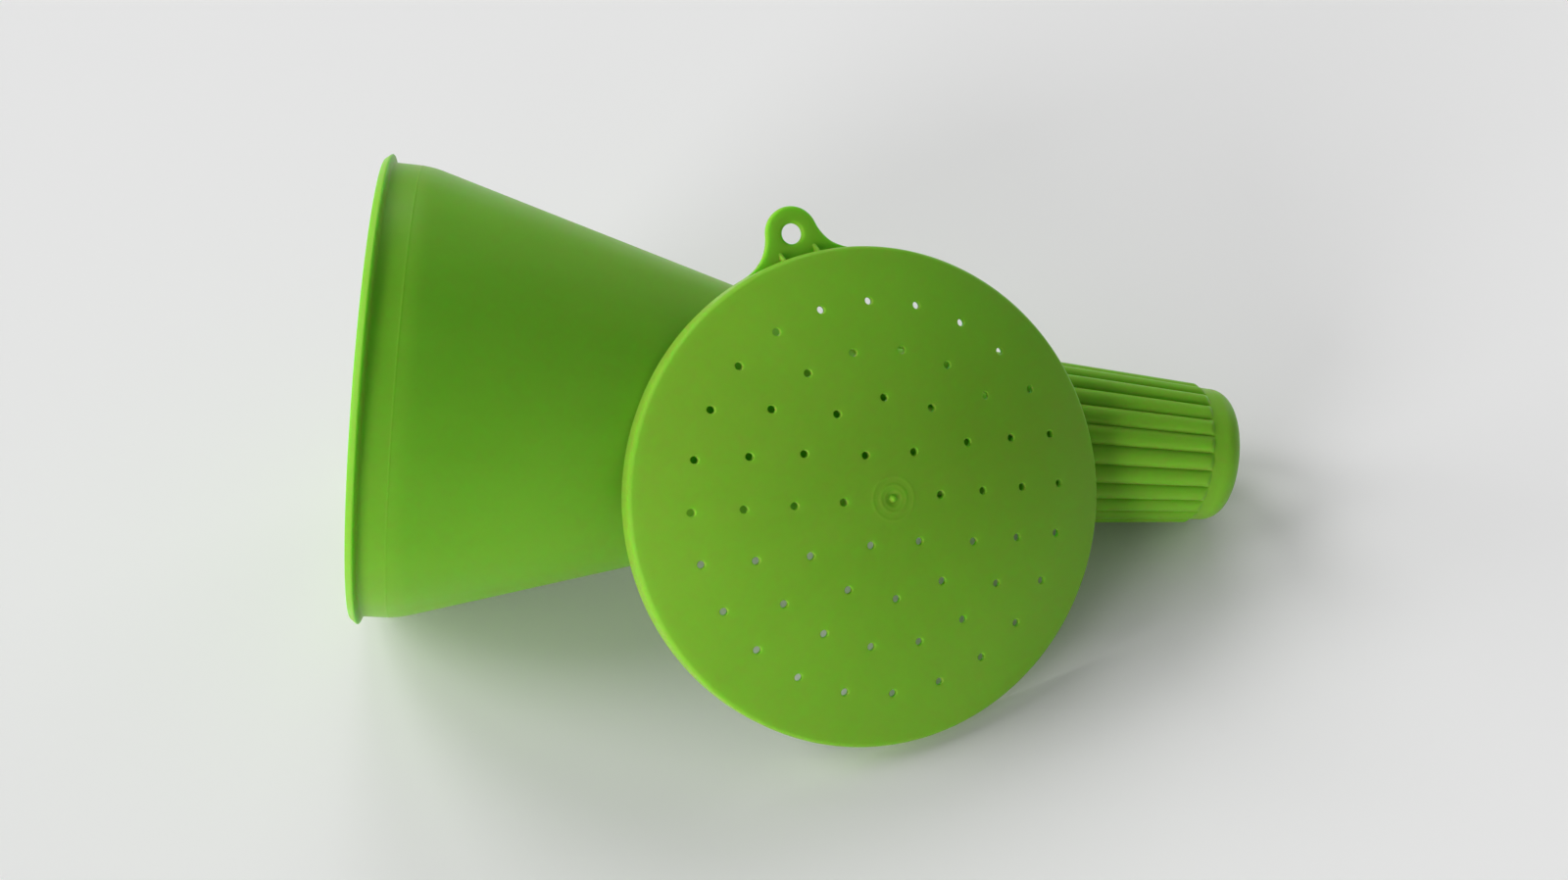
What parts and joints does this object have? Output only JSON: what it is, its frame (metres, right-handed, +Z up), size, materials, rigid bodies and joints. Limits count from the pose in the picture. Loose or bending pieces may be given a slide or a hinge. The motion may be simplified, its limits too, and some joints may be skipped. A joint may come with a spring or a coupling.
{
  "type": "hand powder duster",
  "caption": "Hand shaker for powder: a conical container with a ribbed hollow grip, and a domed perforated push-on lid with a hanging ear, leaning beside it.",
  "frame": {"origin": "middle of the footprint of the lying container and the leaning lid, on the surface that they lie on", "axes": "+X runs along the lying container from its mouth to its grip, +Y away from the side where the lid leans, +Z up"},
  "size_m": [0.3084, 0.1868, 0.153],
  "materials": {
    "green_plastic": "semi-gloss moulded polypropylene"
  },
  "bodies": {
    "container": {"container": "green_plastic"},
    "lid": {"lid": "green_plastic"}
  },
  "joints": [
    {"name": "lid_off", "type": "slide", "parent": "container", "child": "lid", "axis": [0.2994, -0.689, 0.66], "range_m": [0, 0.16]}
  ]
}
